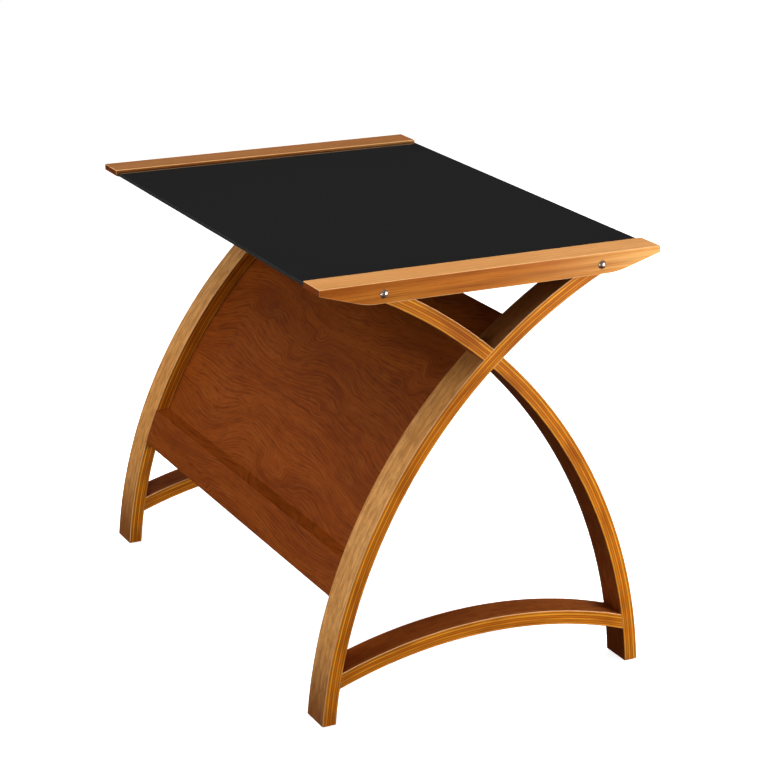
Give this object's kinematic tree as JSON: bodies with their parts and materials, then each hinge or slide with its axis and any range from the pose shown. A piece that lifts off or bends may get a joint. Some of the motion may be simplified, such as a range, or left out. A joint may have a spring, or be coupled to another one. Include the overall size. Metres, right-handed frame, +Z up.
{
  "type": "curved-leg desk with magazine rack",
  "caption": "Free-standing desk: level black glass top between two wooden rails, crossed bent plywood legs at each side, and a curved magazine rack with a lip below the top.",
  "frame": {"origin": "on the floor under the middle of the top", "axes": "+X to the right seen from the rack side, along the table's width; +Y from the rack side to the sitter's side; +Z up"},
  "size_m": [0.9072, 0.604, 0.724],
  "materials": {
    "rail_wood": "satin lacquered solid wood, straight grain along the rail",
    "leg_plywood": "satin lacquered bent plywood, ply lines on the edges",
    "crossbar_wood": "dark stained solid wood",
    "black_glass": "opaque black toughened glass, ground edges",
    "clear_silicone": "soft clear bumper",
    "panel_veneer": "satin walnut-coloured veneer with swirling figure",
    "lip_veneer": "satin walnut-coloured wood, grain along the lip",
    "zinc_steel": "zinc plated",
    "bronze_metal": "dark nickel, satin",
    "dowel_wood": "plain beech",
    "cam_metal": "die-cast, matt",
    "glide_plastic": "moulded"
  },
  "bodies": {
    "root": {"right_rail": "rail_wood", "left_rail": "rail_wood", "right_rack_leg": "leg_plywood", "left_rack_leg": "leg_plywood", "right_cross_leg": "leg_plywood", "left_cross_leg": "leg_plywood", "right_stretcher": "leg_plywood", "left_stretcher": "leg_plywood", "sitter_crossbar": "crossbar_wood", "rack_crossbar": "crossbar_wood", "glass_top": "black_glass", "glass_bumpers": "clear_silicone", "rack_panel": "panel_veneer", "rack_lip": "lip_veneer", "rail_bolts": "zinc_steel", "bolt_caps": "bronze_metal", "barrel_nuts": "zinc_steel", "leg_dowels": "dowel_wood", "stretcher_dowels": "dowel_wood", "crossbar_dowels": "dowel_wood", "lip_dowels": "dowel_wood", "cam_studs": "zinc_steel", "cam_locks": "cam_metal", "panel_screws": "zinc_steel", "lip_screws": "zinc_steel", "foot_glides": "glide_plastic", "glide_nails": "zinc_steel"}
  },
  "joints": []
}
